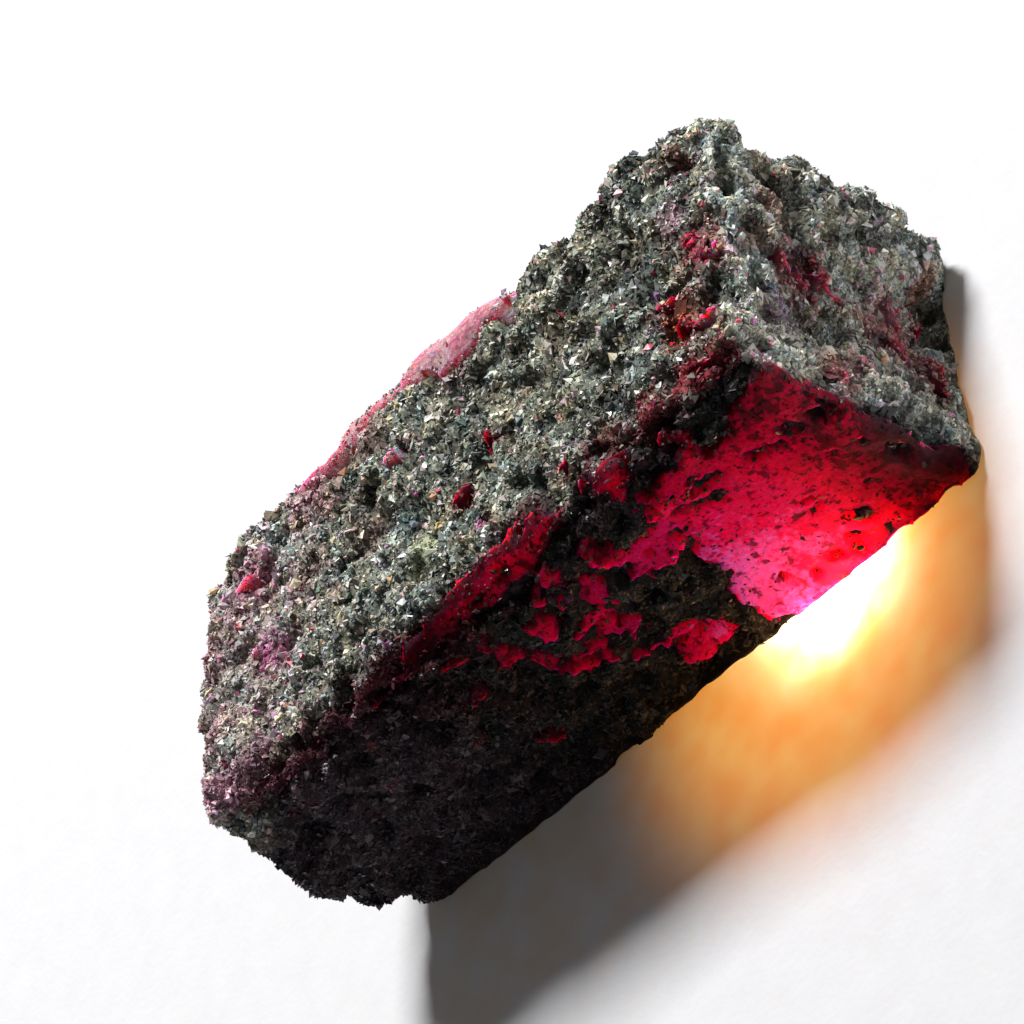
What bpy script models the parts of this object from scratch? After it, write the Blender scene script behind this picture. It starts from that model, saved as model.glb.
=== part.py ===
"""Raw ruby crystal: a block-shaped chunk of ruby that still wears a skin of dark, sandy matrix rock.

It broke free along flat partings, so it is close to a brick: a crusted top, a long side whose crust has
fallen away in windows down to bare crystal, and two rough ends. It grew as one body and is one closed node.

Frame: +X runs along the block, -Y is the long side with the bare window, +Z is up. The origin is the
middle of its footprint, on the ground. Millimetres are turned to metres by MM.
"""

import bmesh
import bpy
from mathutils import Matrix, Vector, noise

MM = 0.001

OBJECT_NAME = "raw_ruby_crystal"
NODE_NAME = "ruby_crystal"

# The block, out to the tips of its grains: each corner is (x, y), going round from front left.
HEIGHT = 12.5 * MM
TOP_CORNERS = ((-17.7, -7.4), (17.1, -7.0), (17.6, 7.3), (-16.4, 7.8))
FOOT_CORNERS = ((-17.7, -6.3), (17.4, -6.0), (17.6, 5.5), (-16.5, 6.1))
FOOT_DEPTH = 0.5 * MM

# How far each kind of edge is rounded off before the surface is roughened.
FRONT_LEFT_ROUND = 1.7 * MM
BACK_LEFT_ROUND = 6.2 * MM
RIGHT_END_ROUND = 1.0 * MM
LEFT_END_TOP_ROUND = 2.0 * MM
TOP_RIM_ROUND = 1.0 * MM
TOP_FRONT_ROUND = 2.8 * MM
FOOT_ROUND = 0.8 * MM
ROUND_STEPS = 3

# The mesh: a fine even skin to shape, then the triangles that are kept.
SKIN_STEP = 0.36 * MM
KEPT_TRIANGLES = 9300
CUT_TOLERANCE = 0.0001 * MM

# Matrix skin: thick where it still clings, gone in the windows.
CRUST_DEPTH = 0.42 * MM
WINDOW_EDGE = 0.22
WINDOW_WANDER = 0.34
WINDOW_WANDER_SIZE = 1.9 * MM

# Roughness of the matrix: clods, then coarse grain. Bare crystal keeps a share of it.
CLOD_SIZE = 3.1 * MM
CLOD_HEIGHT = 0.36 * MM
CLOD_CROWN = 0.9
CLOD_MEAN = 0.4
GRAIN_SIZE = 1.15 * MM
GRAIN_HEIGHT = 0.24 * MM
BARE_SHARE = 0.28
SWELL_SIZE = 9.0 * MM
SWELL_HEIGHT = 0.30 * MM

# Flat treads left where the crystal parts in steps parallel to its top. A tread runs the longer way along +X.
TREAD_LENGTH = 7.0 * MM
TREAD_WIDTH = 4.2 * MM
TREAD_RISE = 0.48 * MM
TREADS_IN_A_RISE = 5
TREAD_FLATNESS = 0.45
TREAD_SLICE = 4.0

# A side counts as facing up or down beyond this slope. The foot is kept smoother than the rest.
LEVEL_SLOPE = 0.5
FOOT_ROUGH_SHARE = 0.25

# Windows fade out where the surface turns away from the side they are on.
WINDOW_TURN = (0.5, 0.8)

# Fractal noise: how fast its finer layers fade, how much finer each is, and how many there are.
WANDER_LAYERS = (0.8, 2.1, 3)
GRAIN_LAYERS = (0.9, 2.0, 2)

# Places where the block stands proud (height > 0) or is hollowed (height < 0):
# (x, y, z), radius and height, all in millimetres.
LUMPS = {
    "back_right_knob": ((14.3, 6.5, 12.4), 4.6, 0.55),
    "knob_crest": ((13.1, 6.9, 12.4), 2.6, 0.30),
    "front_left_belly": ((-16.7, -6.7, 5.6), 5.4, 1.25),
    "left_end_swell": ((-16.5, 1.1, 9.0), 5.6, 0.95),
    "right_lip_upper": ((17.2, -5.3, 6.6), 1.9, 0.40),
    "right_lip_middle": ((17.3, -5.1, 4.0), 1.8, 0.55),
    "right_lip_foot": ((17.5, -5.0, 1.0), 2.0, 0.60),
    "right_foot_bump": ((17.5, 4.9, 0.6), 2.0, 0.55),
    "right_end_shoulder": ((17.1, 2.1, 8.6), 3.4, 0.40),
    "right_foot_hollow": ((17.2, 2.1, 0.6), 3.8, -1.05),
    "back_right_belly": ((17.6, 6.2, 5.8), 4.2, 0.75),
    "right_lip_notch": ((16.9, -6.0, 1.6), 0.9, -0.45),
    "back_rim_step": ((9.1, 7.0, 12.2), 1.6, -0.45),
    "top_pit_large": ((11.7, 3.1, 12.2), 1.5, -0.75),
    "top_pit_middle": ((8.7, 4.1, 12.2), 1.7, -0.55),
    "top_pit_small": ((4.3, 1.3, 12.2), 1.3, -0.45),
    "top_pit_left": ((-4.5, 2.7, 12.2), 1.5, -0.45),
    "top_clod_front": ((6.3, -3.3, 12.2), 2.6, 0.35),
    "top_clod_left": ((-8.9, -2.3, 12.2), 2.9, 0.35),
    "back_rim_swell": ((0.2, 7.6, 10.0), 9.0, 0.55),
    "back_rim_bare_strip": ((-2.5, 7.9, 12.8), 5.0, -0.20),
    "back_ledge_hollow": ((4.7, 6.3, 5.2), 3.8, -0.60),
    "back_clod": ((-6.8, 6.5, 7.2), 3.6, 0.45),
    "front_foot_hollow": ((2.2, -5.8, 1.6), 3.0, -0.30),
    "left_foot_chip": ((-15.9, 3.5, 1.6), 2.4, -0.60),
}

# Windows of bare crystal on the upright sides: (u, z) of the middle, half sizes, all in millimetres.
# u runs along the side: x on the front and back, y on the right and left ends.
WINDOWS = {
    "front": (
        ((11.8, 4.8), (5.0, 4.4)),
        ((15.5, 9.2), (2.0, 2.2)),
        ((12.4, 9.2), (1.9, 1.3)),
        ((7.3, 8.2), (2.0, 1.2)),
        ((2.4, 6.4), (1.3, 1.3)),
        ((-0.7, 8.2), (0.9, 2.0)),
        ((3.8, 2.7), (1.2, 0.8)),
        ((3.8, 9.4), (1.0, 1.4)),
    ),
    "right": (
        ((-0.4, 8.6), (1.1, 0.9)),
        ((-0.4, 3.4), (1.9, 1.3)),
    ),
    "back": (
        ((-4.0, 10.6), (6.6, 1.4)),
        ((6.2, 5.0), (3.2, 2.4)),
        ((-10.8, 4.2), (2.0, 1.6)),
    ),
    "left": (
        ((1.2, 8.6), (2.6, 1.8)),
        ((-2.4, 4.0), (1.5, 1.7)),
    ),
}

MATRIX_COLOUR = (0.095, 0.105, 0.090, 1.0)
MATRIX_ROUGHNESS = 0.85
RUBY_COLOUR = (0.42, 0.006, 0.040, 1.0)
RUBY_ROUGHNESS = 0.35
BARE_FACE_LIMIT = 0.55


def clear_scene():
    """Take away whatever the new file came with."""
    for item in list(bpy.data.objects):
        bpy.data.objects.remove(item, do_unlink=True)


def new_collection(name):
    collection = bpy.data.collections.new(name)
    bpy.context.scene.collection.children.link(collection)
    return collection


def principled(name, colour, roughness):
    """A plain material with the colour and roughness of one mineral."""
    material = bpy.data.materials.new(name)
    material.use_nodes = True
    shader = material.node_tree.nodes["Principled BSDF"]
    shader.inputs["Base Color"].default_value = colour
    shader.inputs["Roughness"].default_value = roughness
    shader.inputs["Metallic"].default_value = 0.0
    material.diffuse_color = colour
    return material


def corner_place(corner):
    """Where a corner of the unit cube goes on the block."""
    order = {(-1, -1): 0, (1, -1): 1, (1, 1): 2, (-1, 1): 3}
    index = order[(1 if corner.x > 0 else -1, 1 if corner.y > 0 else -1)]
    if corner.z > 0:
        x, y = TOP_CORNERS[index]
        return Vector((x * MM, y * MM, HEIGHT))
    x, y = FOOT_CORNERS[index]
    return Vector((x * MM, y * MM, -FOOT_DEPTH))


def edge_round(edge):
    """How far one edge of the block is rounded off."""
    middle = (edge.verts[0].co + edge.verts[1].co) / 2
    along = (edge.verts[1].co - edge.verts[0].co).normalized()
    upright = abs(along.z) > max(abs(along.x), abs(along.y))
    lengthwise = abs(along.x) > abs(along.y)
    if upright and middle.x > 0:
        return RIGHT_END_ROUND
    if upright:
        return FRONT_LEFT_ROUND if middle.y < 0 else BACK_LEFT_ROUND
    if middle.z < HEIGHT / 2:
        return FOOT_ROUND
    if lengthwise:
        return TOP_FRONT_ROUND if middle.y < 0 else TOP_RIM_ROUND
    return LEFT_END_TOP_ROUND if middle.x < 0 else TOP_RIM_ROUND


def smooth_step(low, high, value):
    share = min(max((value - low) / (high - low), 0.0), 1.0)
    return share * share * (3.0 - 2.0 * share)


def side_of(normal):
    """The side that a point of the skin mostly faces, and how squarely."""
    sides = {"right": normal.x, "left": -normal.x, "back": normal.y, "front": -normal.y, "top": normal.z}
    name = max(sides, key=sides.get)
    return name, sides[name]


def window_share(place, normal):
    """1 on bare crystal, 0 under the matrix, with a wandering border between."""
    name, squareness = side_of(normal)
    if name not in WINDOWS:
        return 0.0
    u = place.x if name in ("front", "back") else place.y
    wander = WINDOW_WANDER * noise.fractal(place / WINDOW_WANDER_SIZE, *WANDER_LAYERS)
    nearest = min(
        Vector(((u / MM - middle[0]) / half[0], (place.z / MM - middle[1]) / half[1])).length
        for middle, half in WINDOWS[name]
    )
    inside = 1.0 - smooth_step(1.0 - WINDOW_EDGE, 1.0 + WINDOW_EDGE, nearest + wander)
    return inside * smooth_step(*WINDOW_TURN, squareness)


def lump_height(place):
    """The sum of the named lumps and hollows at one place."""
    total = 0.0
    for middle, radius, height in LUMPS.values():
        reach = (place / MM - Vector(middle)).length / radius
        if reach < 1.0:
            total += height * MM * (1.0 - reach * reach) ** 2
    return total


def clods(place):
    """Rounded clods with creases between them: lowest in a crease, highest on a crown, near 0 on average."""
    distances, _ = noise.voronoi(place / CLOD_SIZE)
    return min(distances[1] - distances[0], CLOD_CROWN) - CLOD_MEAN


def treads(place):
    """Flat steps that climb and fall along the block, about -0.5 to 0.5."""
    climb = noise.noise(Vector((place.x / TREAD_LENGTH, place.y / TREAD_WIDTH, TREAD_SLICE)))
    level = round(climb * TREADS_IN_A_RISE) / TREADS_IN_A_RISE
    return TREAD_FLATNESS * level + (1.0 - TREAD_FLATNESS) * climb


def skin_offset(place, normal):
    """How far a point of the plain block moves along its normal."""
    bare = window_share(place, normal)
    rough = 1.0 - (1.0 - BARE_SHARE) * bare
    offset = -CRUST_DEPTH * bare
    offset += lump_height(place)
    offset += SWELL_HEIGHT * noise.noise(place / SWELL_SIZE)
    offset += CLOD_HEIGHT * rough * clods(place)
    offset += GRAIN_HEIGHT * rough * noise.fractal(place / GRAIN_SIZE, *GRAIN_LAYERS)
    if normal.z > LEVEL_SLOPE:
        offset += TREAD_RISE * treads(place)
    if normal.z < -LEVEL_SLOPE:
        offset *= FOOT_ROUGH_SHARE
    return offset


def make_block(collection):
    """The plain block: a cube with its corners moved out to place and its edges rounded off."""
    mesh = bpy.data.meshes.new(NODE_NAME)
    form = bmesh.new()
    bmesh.ops.create_cube(form, size=1.0)
    for vert in form.verts:
        vert.co = corner_place(vert.co)
    weight = form.edges.layers.float.new("bevel_weight_edge")
    widest = max(edge_round(edge) for edge in form.edges)
    for edge in form.edges:
        edge[weight] = edge_round(edge) / widest
    form.to_mesh(mesh)
    form.free()
    block = bpy.data.objects.new(NODE_NAME, mesh)
    collection.objects.link(block)

    rounding = block.modifiers.new("rounded_edges", "BEVEL")
    rounding.width = widest
    rounding.segments = ROUND_STEPS
    rounding.limit_method = "WEIGHT"
    rounding.offset_type = "OFFSET"

    skin = block.modifiers.new("even_skin", "REMESH")
    skin.mode = "VOXEL"
    skin.voxel_size = SKIN_STEP
    skin.use_smooth_shade = False
    bake_modifiers(block)
    return block


def bake_modifiers(item):
    """Replace an object's mesh with the one its modifiers give."""
    depsgraph = bpy.context.evaluated_depsgraph_get()
    shaped = bpy.data.meshes.new_from_object(item.evaluated_get(depsgraph))
    item.modifiers.clear()
    before = item.data
    item.data = shaped
    shaped.name = item.name
    bpy.data.meshes.remove(before)


def roughen(block):
    """Press the lumps, windows, clods and grain into the skin."""
    form = bmesh.new()
    form.from_mesh(block.data)
    form.normal_update()
    moved = [vert.co + vert.normal * skin_offset(vert.co, vert.normal) for vert in form.verts]
    for vert, place in zip(form.verts, moved):
        vert.co = place
    form.to_mesh(block.data)
    form.free()


def thin_out(block):
    """Keep the triangles that carry the shape, and let the flatter ones go."""
    triangles = sum(len(face.vertices) - 2 for face in block.data.polygons)
    keep = block.modifiers.new("kept_triangles", "DECIMATE")
    keep.decimate_type = "COLLAPSE"
    keep.ratio = KEPT_TRIANGLES / triangles
    keep.use_collapse_triangulate = True
    bake_modifiers(block)


def flatten_foot(block):
    """Cut the foot off level, close the cut, and bring the origin to the middle of the footprint."""
    form = bmesh.new()
    form.from_mesh(block.data)
    everything = form.verts[:] + form.edges[:] + form.faces[:]
    cut = bmesh.ops.bisect_plane(
        form, geom=everything, dist=CUT_TOLERANCE, plane_co=(0, 0, 0), plane_no=(0, 0, -1), clear_outer=True
    )
    rim = [item for item in cut["geom_cut"] if isinstance(item, bmesh.types.BMEdge)]
    bmesh.ops.holes_fill(form, edges=rim, sides=0)
    bmesh.ops.triangulate(form, faces=form.faces[:])
    bmesh.ops.recalc_face_normals(form, faces=form.faces[:])
    low = Vector(min(vert.co[axis] for vert in form.verts) for axis in range(3))
    high = Vector(max(vert.co[axis] for vert in form.verts) for axis in range(3))
    middle = (low + high) / 2
    to_origin = Matrix.Translation((-middle.x, -middle.y, -low.z))
    bmesh.ops.transform(form, matrix=to_origin, verts=form.verts)
    form.to_mesh(block.data)
    form.free()


def colour_faces(block, matrix, ruby):
    """Give the windows the bare crystal's material and everything else the matrix's."""
    block.data.materials.clear()
    block.data.materials.append(matrix)
    block.data.materials.append(ruby)
    for face in block.data.polygons:
        bare = window_share(face.center, face.normal)
        face.material_index = 1 if bare > BARE_FACE_LIMIT else 0
        face.use_smooth = False


def ruby_crystal(collection):
    """The whole stone."""
    matrix = principled("matrix", MATRIX_COLOUR, MATRIX_ROUGHNESS)
    ruby = principled("ruby", RUBY_COLOUR, RUBY_ROUGHNESS)
    block = make_block(collection)
    roughen(block)
    thin_out(block)
    flatten_foot(block)
    colour_faces(block, matrix, ruby)
    return block


def main():
    clear_scene()
    ruby_crystal(new_collection(OBJECT_NAME))


main()
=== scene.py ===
"""Raw ruby crystal, dressed: a cloudy ruby seen through bare windows in a crust of matrix grains.

The ruby is the CAD solid's own form in a finer skin, sunk under the crust and bare at the windows. The crust
is a second skin over it, open at the windows, and on it lie the matrix's grains, each a small angular
crystal, joined in one mesh for each mineral. Daylight comes from behind, and two warm lamps under the paper
shine up through it and into the stone.

Lengths are in millimetres until they meet MM, which turns them to metres. A share runs from 0 to 1.
"""

import math

import bpy
import numpy as np
from mathutils import Matrix, Vector, noise


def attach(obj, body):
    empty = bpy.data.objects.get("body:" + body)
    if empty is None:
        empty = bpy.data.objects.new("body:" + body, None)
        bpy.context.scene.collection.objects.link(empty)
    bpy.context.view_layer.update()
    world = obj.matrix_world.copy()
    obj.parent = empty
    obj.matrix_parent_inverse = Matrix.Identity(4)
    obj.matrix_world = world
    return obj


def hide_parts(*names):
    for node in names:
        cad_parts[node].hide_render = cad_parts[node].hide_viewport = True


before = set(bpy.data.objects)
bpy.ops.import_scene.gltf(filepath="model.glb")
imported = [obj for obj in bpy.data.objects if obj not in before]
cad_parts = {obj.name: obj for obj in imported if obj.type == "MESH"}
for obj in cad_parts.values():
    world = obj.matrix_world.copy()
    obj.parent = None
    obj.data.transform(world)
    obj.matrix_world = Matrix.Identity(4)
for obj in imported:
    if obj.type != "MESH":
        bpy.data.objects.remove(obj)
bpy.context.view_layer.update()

MM = 0.001
NODE = "ruby_crystal"
BODY = "root"

# -------- camera

CAMERA_TARGET = Vector((-2.97, 3.74, 6.0)) * MM
CAMERA_AZIMUTH = math.radians(40.8)
CAMERA_ELEVATION = math.radians(31.57)
CAMERA_ROLL = math.radians(65.2)
CAMERA_DISTANCE = 165.0 * MM
CAMERA_LENS = 138.4
CAMERA_SENSOR = 36.0
CAMERA_CLIP = 10.0

# -------- ruby, crust

SKIN_STEP = 0.25
SKIN_SMOOTHING = 4
# No point goes below this, and near the foot a point makes only part of its move.
LOWEST_POINT = 0.02
FOOT_HELD = 0.85
# How deep the ruby lies under the crust and in a window, and over what depth in a window it comes up.
RUBY_SUNK = 1.10
RUBY_BARE_SUNK = 0.04
RUBY_EDGE = (-0.50, 0.22)
# Waves and lumps: size and height.
RUBY_WAVES = ((3.0, 0.06), (0.8, 0.02))
# Above LOW_DOWN the ruby sinks along normals averaged this many times over. At the foot it is drawn in too.
LOW_DOWN = (3.5, 1.5)
BROAD_ROUNDS = 40
RUBY_SOLE_SUNK = 0.03
RUBY_FOOT_IN = 0.6
CRUST_SUNK = 0.24
CRUST_HIGHEST = 0.06
CRUST_LOWEST = -0.42
CRUST_EDGE_SUNK = 0.27
CRUST_EDGE = (-0.16, 0.10)
CRUST_ENDS = 0.12
CRUST_LUMPS = ((2.4, 0.06), (1.3, 0.16), (0.7, 0.16))
# Pits between clumps of grains: size, depth and how much noise it takes to open one.
CRUST_PITS = ((1.5, 0.40, (0.20, 0.55)), (0.75, 0.26, (0.22, 0.55)))
# How much painted shade, together with dark matrix, darkens the tint in the pits.
PIT_SHADE_AND_DIRT = 0.5
# Where the stone swells a little past the CAD's form: place, reach and height.
SWELLINGS = (
    ((8.6, 6.2, 12.8), 5.0, 0.60),
    ((-3.0, 6.4, 12.5), 6.5, 0.35),
    ((-16.2, -3.8, 11.8), 3.6, 0.60),
    ((17.4, 4.8, 2.4), 3.0, 0.70),
)

# -------- charts and windows

# The front and back charts unroll over their rounded top edges.
FRONT_Y = -7.0
BACK_Y = 7.4
UNROLL_Z = (8.5, 10.5)
# What bends the windows' outlines: size and amount, and the share of it for clots. The rim then moves out.
WARP_LAYERS = ((1.5, 0.24), (0.6, 0.20), (0.28, 0.15))
CLOTS_WARP = 0.5
WINDOW_RIM = -0.05

# Bare crystal as ellipses: (u, v, half width, half height, turn in degrees if any). On the front and back u
# is x and v is the height, going on over the edge; on the ends u is y and v is z; on the top and foot u is x
# and v is y.
WINDOWS = {
    "front": (
        (12.2, 4.6, 4.9, 4.6), (9.7, 3.7, 2.6, 3.1), (7.7, 2.6, 1.4, 1.6, 10), (11.1, 0.9, 5.4, 1.5),
        (15.1, 9.5, 1.8, 2.5), (13.2, 9.4, 1.7, 1.5), (16.2, 10.6, 1.3, 1.7), (16.2, 2.4, 1.5, 2.6),
        (16.1, 6.2, 1.0, 2.4), (6.7, 8.0, 1.1, 1.0), (7.5, 8.4, 0.9, 0.85), (8.6, 8.4, 0.9, 0.6),
        (5.85, 9.0, 0.4, 0.55), (5.8, 7.5, 0.45, 0.55), (7.5, 7.5, 0.6, 0.4), (5.3, 10.1, 0.28, 0.6),
        (5.6, 11.0, 0.2, 0.35), (9.6, 9.2, 1.2, 0.9), (10.3, 10.3, 1.0, 0.8), (12.0, 10.3, 0.9, 1.1),
        (8.9, 10.15, 0.4, 0.34), (9.15, 10.95, 0.17, 0.17), (8.75, 10.7, 0.16, 0.16),
        (11.75, 12.75, 0.45, 0.52), (12.1, 12.0, 0.32, 0.48), (3.62, 11.05, 0.46, 0.76),
        (3.8, 9.05, 0.4, 0.58), (3.4, 8.35, 0.44, 0.62), (2.9, 7.6, 0.3, 0.54), (3.15, 6.75, 0.17, 0.6),
        (2.85, 9.2, 0.24, 0.3), (2.3, 10.3, 0.24, 0.32), (1.15, 8.85, 0.52, 0.68), (1.5, 6.85, 0.48, 0.38),
        (2.2, 6.85, 0.3, 0.56), (1.0, 5.75, 0.38, 0.52), (0.78, 5.2, 0.3, 0.38), (2.0, 5.8, 0.52, 0.42),
        (2.4, 5.35, 0.45, 0.46), (-1.15, 10.2, 0.4, 0.58), (-1.2, 8.95, 0.38, 0.9),
        (-0.85, 6.95, 0.42, 0.92), (-0.15, 5.75, 0.3, 0.62), (3.3, 3.1, 0.4, 0.55), (3.9, 2.4, 0.9, 0.75),
        (2.7, 2.0, 0.7, 0.6), (1.3, 3.9, 0.28, 0.28), (2.4, 3.3, 0.28, 0.24), (3.0, 13.5, 2.3, 1.25, 8),
        (2.5, 12.5, 1.2, 0.7), (4.9, 13.7, 0.7, 0.7), (0.4, 13.2, 2.0, 1.1, 5), (-2.2, 12.9, 1.8, 0.9, 5),
        (8.9, 13.05, 0.75, 0.98), (8.1, 13.9, 0.42, 0.42), (8.8, 11.95, 0.27, 0.42),
        (7.35, 13.55, 0.22, 0.4), (6.9, 15.2, 0.42, 0.42), (14.2, 15.0, 0.5, 0.3, -8),
        (-4.6, 12.3, 0.7, 0.35), (-6.6, 12.0, 0.35, 0.2), (-3.7, 8.2, 0.5, 0.3), (-4.4, 3.8, 0.5, 0.5),
        (-2.6, 10.9, 0.45, 0.3),
    ),
    "top": (
        (1.4, 6.55, 3.6, 1.25, -4), (-5.8, 7.1, 3.6, 0.75, 4), (-12.6, 0.0, 0.6, 0.22, -30),
        (-13.4, 4.4, 0.5, 0.28, 20), (2.7, 0.6, 0.25, 0.2), (0.7, -0.9, 0.22, 0.4), (-3.1, 3.6, 0.45, 0.4),
        (15.1, 1.4, 0.5, 0.22, -48), (16.0, 0.3, 0.45, 0.22, -48), (13.5, -0.6, 0.4, 0.24),
        (14.7, -2.4, 0.55, 0.28, -30), (13.9, -2.0, 0.25, 0.32),
    ),
    "right": (
        (0.4, 9.2, 0.3, 0.36), (-0.1, 8.3, 0.34, 0.3), (0.5, 7.5, 0.25, 0.3), (-0.1, 6.5, 0.2, 0.5, -15),
        (-0.6, 3.1, 0.7, 0.45, 5), (1.0, 3.1, 0.75, 0.4, 5), (1.8, 1.6, 0.7, 0.3), (-1.2, 1.6, 0.7, 0.4),
        (-4.4, 7.2, 0.3, 0.4), (-6.3, 9.0, 0.8, 2.6),
    ),
    "left": (
        (-1.5, 8.4, 1.5, 0.7, 15), (-2.9, 7.8, 0.7, 0.5), (0.3, 9.2, 0.8, 0.35, 30), (-0.6, 7.3, 0.4, 0.4),
        (2.8, 5.4, 1.0, 0.8, -20), (3.9, 4.8, 0.6, 0.4), (2.2, 6.5, 0.5, 0.3), (-3.4, 3.6, 0.7, 0.8),
        (-2.9, 2.4, 0.4, 0.4),
    ),
    "back": (
        (1.6, 13.4, 3.6, 1.1), (-5.2, 12.8, 4.0, 0.7), (6.2, 5.0, 1.6, 1.1, 15), (4.8, 4.0, 0.9, 0.5, 30),
        (7.7, 5.8, 0.7, 0.4), (5.4, 6.4, 0.5, 0.35), (3.2, 3.2, 0.6, 0.3, 30), (-10.8, 4.2, 1.1, 0.7, -25),
        (-12.0, 4.9, 0.6, 0.35), (-9.7, 3.3, 0.5, 0.4), (-3.4, 7.4, 0.45, 0.8, 20), (-3.0, 6.2, 0.3, 0.3),
        (11.4, 9.2, 0.8, 0.35, -30),
    ),
    "foot": (
        (8.2, -1.4, 7.5, 3.9), (-9.0, 1.0, 3.2, 2.4, 20),
    ),
}

# Clots of matrix left standing inside the windows, in the same terms.
CLOTS = {
    "front": (
        (7.95, 7.9, 0.34, 0.34), (8.1, 7.15, 0.22, 0.24), (9.35, 8.8, 0.4, 0.26), (9.9, 8.3, 0.28, 0.26),
        (10.55, 7.95, 0.42, 0.36), (11.15, 9.05, 0.62, 0.38, -20), (12.6, 10.9, 0.5, 0.35),
        (10.9, 9.9, 0.22, 0.2), (10.4, 9.4, 0.24, 0.2), (9.7, 9.9, 0.26, 0.24), (6.5, 8.0, 0.2, 0.16),
        (7.0, 7.4, 0.18, 0.2), (6.9, 8.2, 0.16, 0.14), (15.0, 8.15, 0.55, 0.26, -62),
        (13.85, 8.0, 0.42, 0.2, -30), (13.0, 8.3, 0.6, 0.28, -45), (16.2, 7.8, 0.5, 0.45),
        (14.7, 5.9, 0.36, 0.14, -60), (12.0, 4.5, 0.34, 0.15, -50), (11.8, 3.9, 0.26, 0.2),
        (12.4, 2.2, 0.6, 0.32, -60), (11.3, 1.4, 0.36, 0.2, -30), (10.9, 0.9, 0.22, 0.22),
        (10.2, 1.4, 0.26, 0.13, -50), (9.1, 1.3, 0.24, 0.18), (12.4, 0.7, 0.2, 0.16),
        (14.1, 3.2, 0.24, 0.15), (16.3, 3.6, 0.6, 0.4, -50), (15.9, 5.3, 0.3, 0.22), (8.2, 2.2, 0.14, 0.26),
        (1.65, 6.25, 0.24, 0.2), (1.9, 13.0, 0.25, 0.2), (3.6, 14.2, 0.28, 0.2), (0.2, 12.6, 0.3, 0.2),
        (3.6, 2.9, 0.35, 0.18, 30), (-0.7, 8.9, 0.3, 0.22), (-0.4, 6.9, 0.2, 0.2),
    ),
}

# -------- grains

SEED = 20
LOWEST_GRAIN = 0.05
# How thickly grains and grit lie in the windows, at least and where light falls on them.
WINDOW_SPECKS = (0.03, 0.26)
GRIT_SPECKS = (0.008, 0.20)
FRINGE = (0.10, -0.06)
# A grain's size, and a window grain's, against its mineral's mean; how far a grain stands out, in sizes.
GRAIN_SIZES = (0.5, 1.9)
WINDOW_GRAIN = 0.7
STANDS_OUT = (-0.35, 0.12)
# How its shape and its corners' reach vary: spread, least and most. Then how far its corners shift.
SHAPE_VARIES = (0.22, 0.5, 1.6)
REACH_VARIES = (0.20, 0.6, 1.4)
CORNER_SHIFT = 0.08
# A form thinner than FLAKE lies flatter on the surface than the others.
FLAKE = 0.3
LIE_FLAT, LIE_LOOSE = 1.2, 0.3
# How much brighter the crust's tints are over all; then painted light on the right and left ends and painted
# shade on the back, by side.
BRIGHTER = 3.95
END_PAINTED_LIGHT = 3.2
LEFT_PAINTED_LIGHT = 1.1
BACK_PAINTED_SHADE = 0.7
# Painted shade over the front: the share of the front's tint that its shade colour replaces.
FRONT_PAINTED_SHADE = 0.94
# The crust is this red over this depth by the windows, with a ragged edge.
RIM_RED = 0.75
RIM = (-0.35, 0.25)
RIM_RAGGED = 0.15
# A stain fades between these shares of its radius.
STAIN_FADES = (1.3, 0.4)
STAIN_RAGGED = 0.35
# How much a grain's brightness and its three colours vary.
TINT_VARIES = (0.22, 0.08)
TINT_LIMITS = (0.002, 0.9)
# Clumps of grains of one colour are this wide. Then how far the clump and chance move a grain's colour.
CLUMP = 0.6
CLUMP_MOVES, CHANCE_MOVES = 0.85, 0.2

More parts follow.
